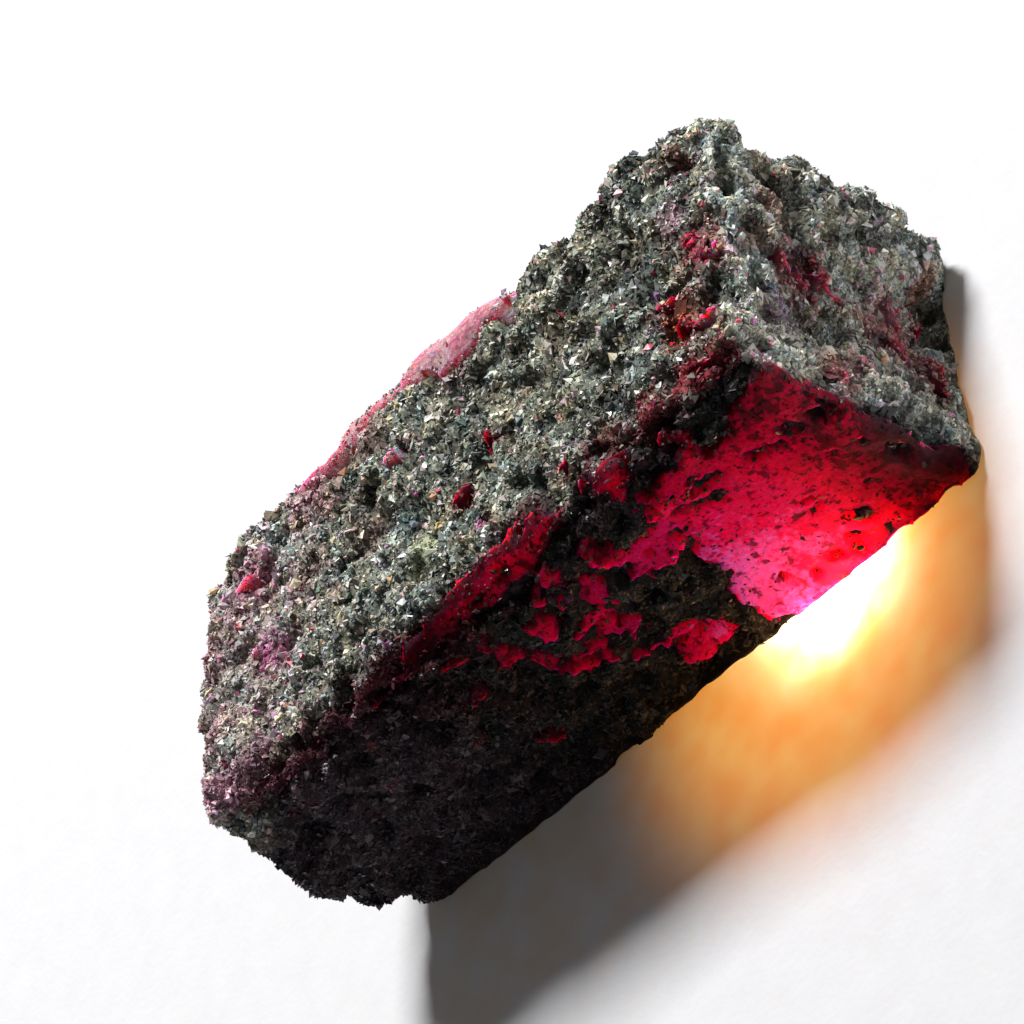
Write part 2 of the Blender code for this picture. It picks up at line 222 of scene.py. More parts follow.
# Each mineral: how many grains, their form, mean size in mm, the spread of sizes, the half sizes of the form,
# how deep they sit, their roughness from and to, and their colours out of 255 with the share of each.
MINERALS = {
    "dark_grit": dict(
        count=47000,
        form="shard",
        size=0.19,
        spread=0.30,
        shape=(0.95, 0.85, 0.95),
        sink=0.0,
        roughness=(0.35, 0.75),
        colours=(
            ((60, 65, 60), 5), ((82, 90, 82), 5), ((106, 106, 92), 3), ((38, 42, 46), 3), ((70, 80, 82), 2),
        ),
    ),
    "pale_grit": dict(
        count=47000,
        form="shard",
        size=0.18,
        spread=0.32,
        shape=(0.95, 0.85, 0.95),
        sink=0.0,
        roughness=(0.3, 0.7),
        colours=(
            ((126, 130, 114), 5), ((156, 156, 140), 4), ((188, 184, 170), 3), ((150, 136, 116), 2),
            ((110, 118, 104), 4), ((222, 218, 208), 2),
        ),
    ),
    "hornblende_grains": dict(
        count=12000,
        form="chip",
        size=0.30,
        spread=0.30,
        shape=(0.66, 0.54, 0.95),
        sink=0.05,
        roughness=(0.3, 0.7),
        colours=(
            ((56, 64, 62), 5), ((78, 86, 80), 5), ((96, 102, 92), 3), ((36, 40, 44), 3), ((66, 78, 74), 2),
        ),
    ),
    "amphibole_grains": dict(
        count=12000,
        form="chip",
        size=0.30,
        spread=0.30,
        shape=(0.72, 0.60, 0.90),
        sink=0.05,
        roughness=(0.3, 0.7),
        colours=(
            ((128, 132, 116), 5), ((152, 154, 140), 4), ((106, 116, 102), 4), ((170, 166, 154), 2),
            ((134, 124, 104), 2),
        ),
    ),
    "mica_flakes": dict(
        count=5000,
        form="block",
        size=0.29,
        spread=0.32,
        shape=(0.75, 0.66, 0.14),
        sink=-0.05,
        roughness=(0.15, 0.35),
        colours=(
            ((176, 178, 168), 4), ((132, 134, 116), 3), ((214, 212, 204), 3), ((96, 96, 84), 3),
        ),
    ),
    "feldspar_grains": dict(
        count=5000,
        form="chip",
        size=0.34,
        spread=0.36,
        shape=(0.72, 0.62, 0.80),
        sink=0.0,
        roughness=(0.25, 0.55),
        colours=(
            ((222, 218, 206), 4), ((196, 186, 164), 4), ((186, 162, 128), 2), ((196, 178, 112), 0.5),
            ((184, 120, 84), 0.5), ((206, 176, 164), 2),
        ),
    ),
    "corundum_grains": dict(
        count=4500,
        form="chip",
        size=0.31,
        spread=0.36,
        shape=(0.72, 0.64, 0.80),
        sink=0.0,
        roughness=(0.25, 0.55),
        colours=(
            ((202, 146, 152), 4), ((184, 136, 168), 3), ((200, 70, 140), 0.5), ((136, 40, 54), 1.5),
            ((216, 176, 176), 2),
        ),
    ),
}

# Stains of one colour over the grains, by chart: u, v, radius, colour out of 255 and strength. A later stain
# lies over an earlier one. Some are painted shade: the dark maroon band along the front's top edge and the
# dark red blots below it.
STAINS_AND_SHADE = (
    ("front", (
        (13.4, 14.9, 1.3, (148, 22, 44), 0.9), (15.2, 14.6, 1.3, (150, 26, 46), 0.9),
        (11.3, 14.6, 1.1, (140, 18, 38), 0.85), (9.0, 15.0, 1.0, (134, 18, 38), 0.75),
        (4.0, 14.6, 1.4, (110, 34, 48), 0.6),
    )),
    ("top", (
        (15.5, 0.9, 1.3, (150, 32, 52), 0.8), (14.0, -1.6, 1.2, (140, 52, 46), 0.7),
    )),
    ("right", (
        (0.3, 8.2, 1.3, (156, 32, 52), 0.85), (0.2, 3.4, 1.6, (156, 50, 60), 0.75),
        (-1.4, 2.0, 1.2, (136, 50, 56), 0.6), (-4.4, 7.0, 0.9, (160, 66, 70), 0.7),
    )),
    # Painted shade: ruby red darkened to maroon along the front's top edge and in blots below it; pink stains
    # at the left end and mauve specks.
    ("front", (
        (-15.2, 12.9, 1.3, (84, 20, 40), 0.85), (-13.2, 12.9, 1.5, (84, 16, 36), 0.9),
        (-10.9, 13.0, 1.5, (80, 12, 32), 0.9), (-8.6, 13.0, 1.5, (78, 10, 30), 0.9),
        (-6.3, 12.9, 1.5, (82, 8, 28), 0.9), (-4.0, 12.8, 1.5, (90, 8, 26), 0.9),
        (-1.6, 12.2, 1.4, (96, 8, 26), 0.8), (-15.8, 14.4, 1.7, (206, 150, 174), 0.8),
        (-13.2, 14.9, 0.9, (190, 134, 158), 0.6), (-3.0, 10.4, 1.6, (52, 12, 22), 0.7),
        (-5.0, 9.2, 1.6, (54, 12, 22), 0.7), (-3.6, 7.0, 1.3, (50, 10, 18), 0.6),
        (-7.6, 10.6, 1.6, (46, 14, 24), 0.6), (2.2, 11.2, 1.3, (54, 14, 24), 0.6),
        (4.9, 9.9, 1.2, (60, 14, 24), 0.6), (7.2, 12.1, 1.4, (50, 16, 26), 0.5),
        (10.6, 12.4, 1.3, (62, 20, 32), 0.5), (-8.6, 10.0, 0.35, (112, 58, 66), 0.8),
        (-10.1, 7.7, 0.35, (104, 52, 58), 0.8), (-12.7, 10.0, 0.4, (112, 62, 72), 0.8),
        (-14.0, 9.7, 0.4, (104, 60, 70), 0.8), (-6.0, 6.3, 0.3, (92, 50, 54), 0.8),
        (-12.3, 7.0, 0.3, (88, 52, 60), 0.8), (-2.6, 5.4, 0.3, (92, 40, 48), 0.8),
        (0.9, 10.9, 0.35, (96, 40, 60), 0.8),
    )),
    ("top", (
        (-12.3, -0.2, 0.9, (214, 84, 166), 0.8), (-13.2, 4.2, 1.6, (206, 112, 160), 0.65),
        (-8.6, 6.2, 1.6, (206, 140, 152), 0.6), (1.6, 5.6, 1.4, (176, 118, 124), 0.5),
        (-4.4, 6.0, 1.2, (180, 124, 130), 0.5), (-13.0, 0.0, 4.5, (166, 136, 144), 0.35),
        (-16.0, -3.0, 1.8, (178, 128, 142), 0.6), (-16.0, 2.0, 1.8, (176, 122, 132), 0.6),
        (-5.3, 1.6, 1.1, (206, 180, 170), 0.6), (-9.6, 2.6, 1.2, (180, 140, 138), 0.5),
        (-1.5, -2.3, 0.8, (206, 212, 170), 0.7), (-0.7, -1.3, 0.35, (214, 180, 80), 0.8),
        (-11.6, -3.4, 0.35, (206, 110, 80), 0.7), (13.7, -1.8, 0.7, (206, 116, 66), 0.7),
        (15.4, 5.6, 0.6, (170, 90, 60), 0.6), (14.4, 3.3, 0.7, (204, 150, 172), 0.6),
        (7.6, -3.6, 0.4, (170, 90, 150), 0.7), (1.8, -3.3, 0.45, (190, 80, 150), 0.7),
        (-1.9, -4.5, 0.3, (200, 70, 160), 0.8), (-12.7, -5.1, 0.35, (190, 70, 150), 0.7),
        (-8.2, -5.2, 0.3, (200, 70, 150), 0.7), (7.2, 2.4, 0.9, (184, 160, 130), 0.5),
        (7.4, -1.2, 0.6, (188, 176, 140), 0.5), (9.2, 3.4, 1.1, (34, 42, 42), 0.7),
        (12.2, 2.6, 1.2, (30, 36, 38), 0.7), (5.4, -3.3, 1.0, (40, 44, 46), 0.6),
        (10.4, -3.0, 1.1, (36, 42, 44), 0.6), (-2.6, 1.0, 0.9, (48, 58, 58), 0.5),
        (15.8, -0.8, 0.8, (36, 44, 48), 0.6), (-5.2, 2.6, 0.6, (48, 52, 46), 0.5),
    )),
    ("right", (
        (4.2, 8.5, 3.0, (122, 116, 98), 0.45), (-4.6, 3.0, 2.2, (124, 128, 132), 0.4),
        (-2.0, 9.6, 1.1, (150, 112, 150), 0.6), (1.2, 10.7, 0.6, (208, 160, 150), 0.7),
        (3.2, 9.4, 0.8, (196, 140, 120), 0.6), (-3.8, 7.0, 1.0, (196, 120, 110), 0.6),
        (-0.4, 4.9, 0.6, (202, 130, 120), 0.6), (3.3, 1.2, 0.6, (196, 100, 60), 0.6),
        (-2.9, 5.9, 0.5, (190, 90, 110), 0.6),
    )),
    ("left", (
        (0.0, 6.0, 3.0, (178, 118, 138), 0.45),
    )),
    ("back", (
        (-12.0, 8.0, 3.0, (182, 124, 142), 0.45), (3.0, 10.5, 1.6, (196, 150, 146), 0.5),
        (9.5, 4.0, 1.2, (40, 48, 46), 0.5),
    )),
)


def srgb(*colour):
    """A colour seen as red, green and blue out of 255, as linear light."""
    shares = [channel / 255 for channel in colour]
    return tuple(c / 12.92 if c <= 0.04045 else ((c + 0.055) / 1.055) ** 2.4 for c in shares)


# The colours of the painted shade over the front, far from the lamps and by them; the red round the windows,
# and the ground.
FRONT_SHADE_COLOUR = srgb(48, 29, 46)
LAMP_SHADE_COLOUR = srgb(15, 11, 14)
REDDER = srgb(150, 44, 58)
GROUND = srgb(84, 86, 76)
GROUND_DIRT = srgb(18, 18, 19)
GROUND_CELLS = ((0.0, (0.4, 0.4, 0.4)), (0.35, (0.8, 0.8, 0.75)), (0.7, (1.2, 1.2, 1.1)))
GRAIN_IOR = 1.55

# From deep to pale ruby: the pale pink end is painted light, as of the lamps below glowing in the stone. How
# pale it is goes by its distance from RUBY_GLOW_MIDDLE.
RUBY_COLOURS = (
    (0.00, srgb(48, 3, 22)),
    (0.22, srgb(108, 2, 36)),
    (0.45, srgb(196, 0, 50)),
    (0.66, srgb(252, 2, 64)),
    (0.86, srgb(255, 16, 108)),
    (1.00, srgb(255, 96, 225)),
)
# Where the painted glow is brightest, by the lamps, and how it fades with distance.
RUBY_GLOW_MIDDLE = (7.4, -7.0, 3.4)
RUBY_GLOW_REACH = ((1.3, 1.0), (3.6, 0.87), (6.5, 0.68), (9.0, 0.48), (12.0, 0.42), (17.0, 0.05))
RUBY_STAIN = srgb(70, 2, 12)
RUBY_SPECK = srgb(30, 4, 10)
RUBY_DUSTY = srgb(168, 143, 143)
RUBY_MAUVE = srgb(168, 108, 126)
# How far red, green and blue light spread in it, how clear it is, and what it absorbs: colour and density.
RUBY_RADIUS = (1.0, 0.04, 0.12)
RUBY_SCALE = 5.0
RUBY_CLEAR = 0.07
RUBY_IOR = 1.77
RUBY_ABSORBS = ((0.93, 0.0, 0.08), 1200.0)

# -------- light

PAPER = srgb(240, 240, 242)
PAPER_SHADE = srgb(230, 230, 233)
# The tints of the light that comes through the paper, and how much of it does.
PAPER_AMBER = srgb(255, 216, 150)
PAPER_CREAM = (1.0, 0.92, 0.8)
PAPER_THIN = 0.3
PAPER_SIDE = 3000.0
# Each lamp under the paper: place, size, watts, colour, and the radius and blur of the pool it lights.
LAMPS = {
    "lamp_core": ((8.6, -4.7, -3.0), 1.0, 0.034, (1.0, 0.82, 0.54), 7.0, 1.0),
    "lamp_halo": ((7.6, -6.4, -14.0), 2.0, 0.026, (1.0, 0.47, 0.05), 13.0, 0.6),
}
LIT_POINT = (0.0, 0.0, 6.0)
DAYLIGHT_PLACE = (15.0, 362.0, 435.0)
DAYLIGHT_SIZE = 150.0
DAYLIGHT_WATTS = 6.4
SKY = 0.105
SKY_COLOUR = (0.93, 0.94, 1.0)


# -------- small helpers


def smooth_step(low, high, value):
    """0 below low, 1 above high and smooth between; low may be the higher of the two."""
    share = np.clip((value - low) / (high - low), 0.0, 1.0)
    return share * share * (3.0 - 2.0 * share)


def noise_at(places, size, slice_at):
    """Smooth noise from about -1 to 1 with features of this size, another at each slice."""
    scaled = places / size + np.array((slice_at, 2.7 * slice_at, -1.3 * slice_at))
    return 2.0 * np.array([noise.noise(p) for p in scaled.tolist()])


def unit(vectors):
    """The vectors at length 1."""
    return vectors / np.maximum(np.linalg.norm(vectors, axis=-1, keepdims=True), 1e-12)


def mesh_from_arrays(name, verts, faces):
    """A mesh from places in millimetres and faces that all have the same number of corners."""
    sides = faces.shape[1]
    mesh = bpy.data.meshes.new(name)
    mesh.vertices.add(len(verts))
    mesh.vertices.foreach_set("co", (verts * MM).astype(np.float32).ravel())
    mesh.loops.add(faces.size)
    mesh.loops.foreach_set("vertex_index", faces.astype(np.int32).ravel())
    mesh.polygons.add(len(faces))
    mesh.polygons.foreach_set("loop_start", np.arange(0, faces.size, sides, dtype=np.int32))
    mesh.update(calc_edges=True)
    return mesh


def add_object(name, data):
    """A new object in the scene."""
    item = bpy.data.objects.new(name, data)
    bpy.context.scene.collection.objects.link(item)
    return item


def add_piece(name, mesh):
    """A piece of the stone, on its one body and in its one slot."""
    piece = add_object(name, mesh)
    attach(piece, BODY)
    return piece


def point_colours(mesh, colours):
    """Each point's tint."""
    layer = mesh.attributes.new("tint", "FLOAT_COLOR", "POINT")
    layer.data.foreach_set("color", np.c_[colours, np.ones(len(colours))].astype(np.float32).ravel())


def point_values(mesh, name, values):
    """One number for each point."""
    layer = mesh.attributes.new(name, "FLOAT", "POINT")
    layer.data.foreach_set("value", np.asarray(values, np.float32))


# -------- charts and windows


def charts(places, normals):
    """Which side each point belongs to, and its two coordinates there."""
    x, y, z = places.T
    nx, ny, nz = normals.T
    front_roll = z + np.maximum(0.0, y - FRONT_Y) * smooth_step(*UNROLL_Z, z)
    back_roll = z + np.maximum(0.0, BACK_Y - y) * smooth_step(*UNROLL_Z, z)
    side = np.full(len(places), "top", dtype=object)
    end = np.abs(nx) > np.maximum(np.abs(ny), np.abs(nz))
    side[end & (nx > 0)] = "right"
    side[end & (nx < 0)] = "left"
    side[~end & ((ny < -0.45) | (y < -3.4))] = "front"
    side[~end & ((ny > 0.6) & (y > 4.0))] = "back"
    side[(nz < -0.6) & (z < 3.0)] = "foot"
    on_end = (side == "right") | (side == "left")
    u = np.where(on_end, y, x)
    v = np.select([side == "front", side == "back", on_end], [front_roll, back_roll, z], y)
    return side, u, v


def ellipse_depth(u, v, shape):
    """How far inside an ellipse each point is, roughly; negative outside."""
    middle_u, middle_v, half_u, half_v, *turn = shape
    turn = math.radians(sum(turn))
    du, dv = u - middle_u, v - middle_v
    along = du * math.cos(turn) + dv * math.sin(turn)
    across = -du * math.sin(turn) + dv * math.cos(turn)
    reach = np.sqrt((along / half_u) ** 2 + (across / half_v) ** 2)
    return (1.0 - reach) * min(half_u, half_v)


def bare_depth(places, normals):
    """How far inside a window of bare crystal each point is; negative under the crust."""
    side, u, v = charts(places, normals)
    bent_u, bent_v = (
        sum(amount * noise_at(places, size, start + k) for k, (size, amount) in enumerate(WARP_LAYERS))
        for start in (3.1, 7.9)
    )
    depth = np.full(len(places), -3.0)
    for name, shapes in WINDOWS.items():
        here = side == name
        at_u, at_v = (u + bent_u)[here], (v + bent_v)[here]
        for shape in shapes:
            depth[here] = np.maximum(depth[here], ellipse_depth(at_u, at_v, shape))
    for name, shapes in CLOTS.items():
        here = side == name
        at_u, at_v = (u + CLOTS_WARP * bent_u)[here], (v + CLOTS_WARP * bent_v)[here]
        for shape in shapes:
            depth[here] = np.minimum(depth[here], -ellipse_depth(at_u, at_v, shape))
    return depth - WINDOW_RIM


def dust_share(places):
    """How dusty the bare crystal is: the back rim, the back and the ends are frosted pink."""
    x, y, z = places.T
    top = smooth_step(11.2, 12.6, z) * smooth_step(1.8, 3.6, y)
    left = 0.75 * smooth_step(-9.5, -13.0, x) * smooth_step(-7.4, -5.8, y)
    back = 0.5 * smooth_step(5.0, 7.0, y)
    right = 0.32 * smooth_step(14.5, 17.0, x) * smooth_step(1.0, 3.0, z) * smooth_step(-6.5, -5.0, y)
    return np.clip(np.maximum.reduce([top, left, back, right]), 0.0, 1.0)


def painted_glow_share(places, normals, depth):
    """The ruby's paleness as painted light and shade: pink low on the front by the lamps, clear red round it,
    deep far off; painted shade darkens it where daylight falls on top, at the left, in the lower right corner
    and at the windows' rims.
    """
    away = np.linalg.norm(places - np.array(RUBY_GLOW_MIDDLE), axis=1)
    x, _, z = places.T
    up = normals[:, 2]
    corner = 0.36 * smooth_step(11.5, 16.0, x) + 0.20 * smooth_step(15.0, 17.5, x)
    corner = corner * smooth_step(8.0, 3.0, z)
    # Painted shade where daylight falls on it, and at the left, which would otherwise shine too brightly.
    lit = 0.40 * smooth_step(0.75, 0.97, up) + 0.35 * smooth_step(0.5, -4.0, x)
    lit = lit + 0.30 * smooth_step(9.5, 11.0, x) * smooth_step(11.0, 12.0, z)
    # Painted shade at the windows' rims.
    rim = 0.4 * smooth_step(0.16, -0.06, depth)
    rim = rim + 0.3 * smooth_step(0.7, 0.95, up) * smooth_step(0.4, 0.0, depth)
    return np.interp(away, *zip(*RUBY_GLOW_REACH)) - corner - lit - rim


def dirt_share(places):
    """How thickly dark specks lie in the ruby: least in the bright middle of the front."""
    x, _, z = places.T
    dirt = smooth_step(11.5, 16.5, x) + 0.5 * smooth_step(8.0, 11.0, z) + 0.3 * smooth_step(4.0, 0.0, x)
    return np.clip(dirt, 0.0, 1.0)


def front_shade_share(places, normals):
    """How strongly painted shade darkens the crust over the front, except at its upper left corner."""
    x, y, z = places.T
    front = smooth_step(-0.15, -0.6, normals[:, 1]) * smooth_step(-3.0, -5.5, y)
    corner = smooth_step(-14.0, -16.0, x) * smooth_step(9.0, 11.5, z)
    return np.clip(front - corner, 0.0, 1.0)


# -------- materials


class Nodes:
    """Shorthand for building one material's node tree."""

    def __init__(self, name):
        self.material = bpy.data.materials.new(name)
        self.material.use_nodes = True
        self.tree = self.material.node_tree
        self.shader = self.tree.nodes["Principled BSDF"]
        self.place = self.tree.nodes.new("ShaderNodeTexCoord").outputs["Object"]

    def feed(self, value, socket):
        """Put a plain value or a link into a socket."""
        if hasattr(value, "is_linked"):
            self.tree.links.new(value, socket)
        elif hasattr(socket.default_value, "__len__") and len(socket.default_value) == 4 and len(value) == 3:
            socket.default_value = (*value, 1.0)
        else:
            socket.default_value = value

    def attribute(self, name, output="Fac"):
        """What a mesh keeps for each point under this name."""
        node = self.tree.nodes.new("ShaderNodeAttribute")
        node.attribute_name = name
        return node.outputs[output]

    def noise(self, size, detail):
        """Noise with features of this size."""
        node = self.tree.nodes.new("ShaderNodeTexNoise")
        self.feed(self.place, node.inputs["Vector"])
        node.inputs["Scale"].default_value = 1.0 / (size * MM)
        node.inputs["Detail"].default_value = detail
        return node.outputs["Fac"]

    def cells(self, size, output="Color"):
        """Cells of this size."""
        node = self.tree.nodes.new("ShaderNodeTexVoronoi")
        self.feed(self.place, node.inputs["Vector"])
        node.inputs["Scale"].default_value = 1.0 / (size * MM)
        return node.outputs[output]

    def ramp(self, value, stops, interpolation="LINEAR"):
        """Colours by value, between stops."""
        node = self.tree.nodes.new("ShaderNodeValToRGB")
        node.color_ramp.interpolation = interpolation
        elements = node.color_ramp.elements
        while len(elements) < len(stops):
            elements.new(0.5)
        for element, (at, colour) in zip(elements, stops):
            element.position = at
            element.color = (*colour, 1.0)
        self.feed(value, node.inputs["Fac"])
        return node.outputs["Color"]

    def mix(self, share, first, second, blend="MIX"):
        """The first colour with a share of the second: in at sockets 6 and 7, out at socket 2."""
        node = self.tree.nodes.new("ShaderNodeMix")
        node.data_type = "RGBA"
        node.blend_type = blend
        self.feed(share, node.inputs[0])
        self.feed(first, node.inputs[6])
        self.feed(second, node.inputs[7])
        return node.outputs[2]

    def times(self, colour, share):
        """A colour darkened or lightened by a share."""
        return self.mix(1.0, colour, self.mix(share, (0.0, 0.0, 0.0), (1.0, 1.0, 1.0)), "MULTIPLY")

    def spread(self, value, low, high, to_low, to_high):
        """Values from low to high, stretched to run from to_low to to_high."""
        node = self.tree.nodes.new("ShaderNodeMapRange")
        self.feed(value, node.inputs["Value"])
        for socket, number in zip(("From Min", "From Max", "To Min", "To Max"), (low, high, to_low, to_high)):
            node.inputs[socket].default_value = number
        return node.outputs["Result"]

    def math(self, operation, first, second):
        """One sum, such as ADD or MULTIPLY."""
        node = self.tree.nodes.new("ShaderNodeMath")
        node.operation = operation
        self.feed(first, node.inputs[0])
        self.feed(second, node.inputs[1])
        return node.outputs[0]

    def bump(self, height, distance, strength, onto=None):
        """Relief of this depth."""
        node = self.tree.nodes.new("ShaderNodeBump")
        node.inputs["Strength"].default_value = strength
        node.inputs["Distance"].default_value = distance * MM
        self.feed(height, node.inputs["Height"])
        if onto is not None:
            self.feed(onto, node.inputs["Normal"])
        return node.outputs["Normal"]

    def set(self, **values):
        """Feed the shader's sockets, by name."""
        for name, value in values.items():
            self.feed(value, self.shader.inputs[name.replace("_", " ")])


def ruby_material():
    """Cloudy ruby with darker specks sealed in it, frosted pink where it is dusty. Its colour carries painted
    light, pink by the lamps, and painted shade from painted_glow_share.
    """
    n = Nodes("ruby")
    dust, painted_glow, dirt = n.attribute("dust"), n.attribute("painted_glow"), n.attribute("dirt")
    clouds = n.spread(n.noise(1.3, 5.0), 0.3, 0.7, -0.09, 0.09)
    grain = n.spread(n.noise(0.3, 6.0), 0.3, 0.7, -0.08, 0.08)
    # Painted light and shade: the painted glow picks the colour from deep to pink.
    ruby = n.ramp(n.math("ADD", painted_glow, n.math("ADD", clouds, grain)), RUBY_COLOURS)
    blots = n.math("ADD", n.noise(0.42, 6.0), n.math("MULTIPLY", dirt, 0.09))
    ruby = n.mix(n.spread(blots, 0.57, 0.63, 0.0, 0.8), ruby, RUBY_STAIN)
    specks = n.math("ADD", n.noise(0.20, 4.0), n.math("MULTIPLY", dirt, 0.06))
    ruby = n.mix(n.spread(specks, 0.62, 0.67, 0.0, 0.95), ruby, RUBY_SPECK)
    mottle = n.spread(n.noise(0.16, 4.0), 0.3, 0.7, 0.66, 1.04)
    ruby = n.times(ruby, mottle)
    dusty = n.mix(n.spread(n.noise(1.3, 3.0), 0.35, 0.65, 0.0, 1.0), RUBY_DUSTY, RUBY_MAUVE)
    frost = n.spread(n.noise(0.24, 4.0), 0.35, 0.65, 0.45, 1.05)
    frosted = n.bump(n.math("MULTIPLY", dust, n.noise(0.2, 4.0)), 0.10, 0.8)
    n.set(
        Base_Color=n.mix(n.math("MULTIPLY", dust, frost), ruby, dusty),
        Roughness=n.spread(n.noise(0.5, 2.0), 0.3, 0.7, 0.45, 0.7),
        Subsurface_Weight=1.0,
        Subsurface_Radius=RUBY_RADIUS,
        Subsurface_Scale=RUBY_SCALE * MM,
        Transmission_Weight=RUBY_CLEAR,
        IOR=RUBY_IOR,
        Specular_IOR_Level=0.0,
        Normal=n.bump(n.noise(0.30, 3.0), 0.02, 0.7, frosted),
    )
    absorption = n.tree.nodes.new("ShaderNodeVolumeAbsorption")
    colour, density = RUBY_ABSORBS
    n.feed(colour, absorption.inputs["Color"])
    absorption.inputs["Density"].default_value = density
    n.tree.links.new(absorption.outputs["Volume"], n.tree.nodes["Material Output"].inputs["Volume"])
    return n.material


def crust_material():
    """The fine ground that the grains sit in."""
    n = Nodes("matrix_ground")
    ground = n.attribute("tint", "Color")
    ground = n.mix(1.0, ground, n.ramp(n.cells(0.22), GROUND_CELLS, "CONSTANT"), "MULTIPLY")
    ground = n.mix(n.spread(n.noise(0.12, 2.0), 0.35, 0.7, 0.0, 0.8), ground, GROUND_DIRT)
    relief = n.bump(n.cells(0.26, "Distance"), 0.06, 0.8)
    n.set(
        Base_Color=ground,
        Roughness=n.spread(n.noise(0.3, 2.0), 0.3, 0.7, 0.75, 0.95),
        Specular_IOR_Level=0.2,
        Normal=n.bump(n.noise(0.11, 3.0), 0.02, 0.7, relief),
    )
    return n.material


def grain_material(name, roughness):
    """One mineral: each grain has its own tint, mottled, with a fine broken gloss."""
    n = Nodes(name)
    tint = n.attribute("tint", "Color")
    mottle = n.spread(n.noise(0.14, 3.0), 0.3, 0.7, 0.62, 1.25)
    n.set(
        Base_Color=n.times(tint, mottle),
        Roughness=n.spread(n.noise(0.2, 2.0), 0.3, 0.7, *roughness),
        IOR=GRAIN_IOR,
        Specular_IOR_Level=0.25,
        Normal=n.bump(n.noise(0.07, 2.0), 0.012, 0.6),
    )
    return n.material


def paper_material():
    """Plain pale paper with a faint tooth. It lets through some of the lamps' light from below."""
    n = Nodes("pale_paper")
    colour = n.mix(n.noise(1.5, 4.0), PAPER, PAPER_SHADE)
    relief = n.bump(n.noise(0.35, 3.0), 0.03, 0.5)
    n.set(Base_Color=colour, Roughness=n.spread(n.noise(0.8, 2.0), 0.3, 0.7, 0.8, 0.95), Normal=relief)
    through = n.tree.nodes.new("ShaderNodeBsdfTranslucent")
    warmth = n.spread(n.noise(2.2, 3.0), 0.35, 0.65, 0.0, 1.0)
    n.feed(n.mix(warmth, PAPER_AMBER, PAPER_CREAM), through.inputs[0])
    both = n.tree.nodes.new("ShaderNodeMixShader")
    both.inputs[0].default_value = PAPER_THIN
    n.tree.links.new(n.shader.outputs[0], both.inputs[1])
    n.tree.links.new(through.outputs[0], both.inputs[2])
    n.tree.links.new(both.outputs[0], n.tree.nodes["Material Output"].inputs["Surface"])
    return n.material


# -------- ruby, crust


def fine_skin():
    """The CAD form in small even quads: places in millimetres, normals and quads."""
    rough = add_object("fine_skin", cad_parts[NODE].data.copy())
    skin = rough.modifiers.new("skin", "REMESH")
    skin.mode = "VOXEL"
    skin.voxel_size = SKIN_STEP * MM
    relax = rough.modifiers.new("relax", "SMOOTH")
    relax.factor = 0.5
    relax.iterations = SKIN_SMOOTHING
    mesh = bpy.data.meshes.new_from_object(rough.evaluated_get(bpy.context.evaluated_depsgraph_get()))
    bpy.data.objects.remove(rough)
    places = np.empty(len(mesh.vertices) * 3, np.float32)
    normals = np.empty(len(mesh.vertices) * 3, np.float32)
    quads = np.empty(len(mesh.loops), np.int32)
    mesh.vertices.foreach_get("co", places)
    mesh.vertex_normals.foreach_get("vector", normals)
    mesh.loops.foreach_get("vertex_index", quads)
    bpy.data.meshes.remove(mesh)
    places, normals = places.reshape(-1, 3) / MM, normals.reshape(-1, 3).astype(float)
    swelling = sum(
        height * smooth_step(reach, 0.3 * reach, np.linalg.norm(places - np.array(middle), axis=1))
        for middle, reach, height in SWELLINGS
    )
    return move_out(places, normals, swelling), normals, quads.reshape(-1, 4)


def move_out(places, normals, distance):
    """Move points along their normals, less near the foot, and never below the floor."""
    foot = np.clip(smooth_step(-0.5, -0.9, normals[:, 2]) + smooth_step(0.5, 0.0, places[:, 2]), 0.0, 1.0)
    moved = places + normals * (distance * (1.0 - FOOT_HELD * foot))[:, None]
    moved[:, 2] = np.maximum(moved[:, 2], LOWEST_POINT)
    return moved


def broad_normals(normals, quads):
    """The normals averaged with their neighbours' many times over, so that small ridges don't count."""
    corners, count = quads.ravel(), len(normals)
    around = np.bincount(corners, minlength=count)[:, None]
    for _ in range(BROAD_ROUNDS):
        flat = np.repeat(normals[quads].mean(axis=1), 4, axis=0)
        normals = np.stack([np.bincount(corners, flat[:, k], count) for k in range(3)], axis=1) / around
    return unit(normals)


def make_ruby(places, normals, quads, depth):
    """The crystal: bare and gently waved at the windows, sunk under the crust elsewhere."""
    bare = smooth_step(*RUBY_EDGE, depth)
    waves = sum(amount * noise_at(places, size, 5.0) for size, amount in RUBY_WAVES)
    moved = move_out(places, normals, bare * (waves - RUBY_BARE_SUNK))
    broad = broad_normals(normals, quads)
    low = smooth_step(*LOW_DOWN, places[:, 2])[:, None]
    moved = move_out(moved, unit(broad * (1.0 - low) + normals * low), (bare - 1.0) * RUBY_SUNK)
    # Down at the foot the ruby stays inside the crust, which is thin there.
    sole = (places[:, 2] < 0.1) & (normals[:, 2] < -0.5)
    moved[sole, 2] = LOWEST_POINT + RUBY_SOLE_SUNK * (1.0 - bare[sole])
    drawn_in = RUBY_FOOT_IN * smooth_step(0.9, 0.3, places[:, 2]) * (1.0 - bare)
    moved[:, :2] -= broad[:, :2] * drawn_in[:, None]
    mesh = mesh_from_arrays("ruby_body", moved, quads)
    mesh.shade_smooth()
    point_values(mesh, "dust", dust_share(places))
    # The painted light and shade of the ruby's colour.
    point_values(mesh, "painted_glow", painted_glow_share(places, normals, depth))
    point_values(mesh, "dirt", dirt_share(places))
    box_map(mesh, places, normals, quads)
    mesh.materials.append(ruby_material())
    return mesh


def pit_share(places):
    """How far into a pit between clumps each point is, and how deep the pit is there."""
    shares = [smooth_step(*opens, noise_at(places, size, 41.0)) for size, _, opens in CRUST_PITS]
    depth = sum(share * pit[1] for share, pit in zip(shares, CRUST_PITS))
    return np.maximum.reduce(shares), depth


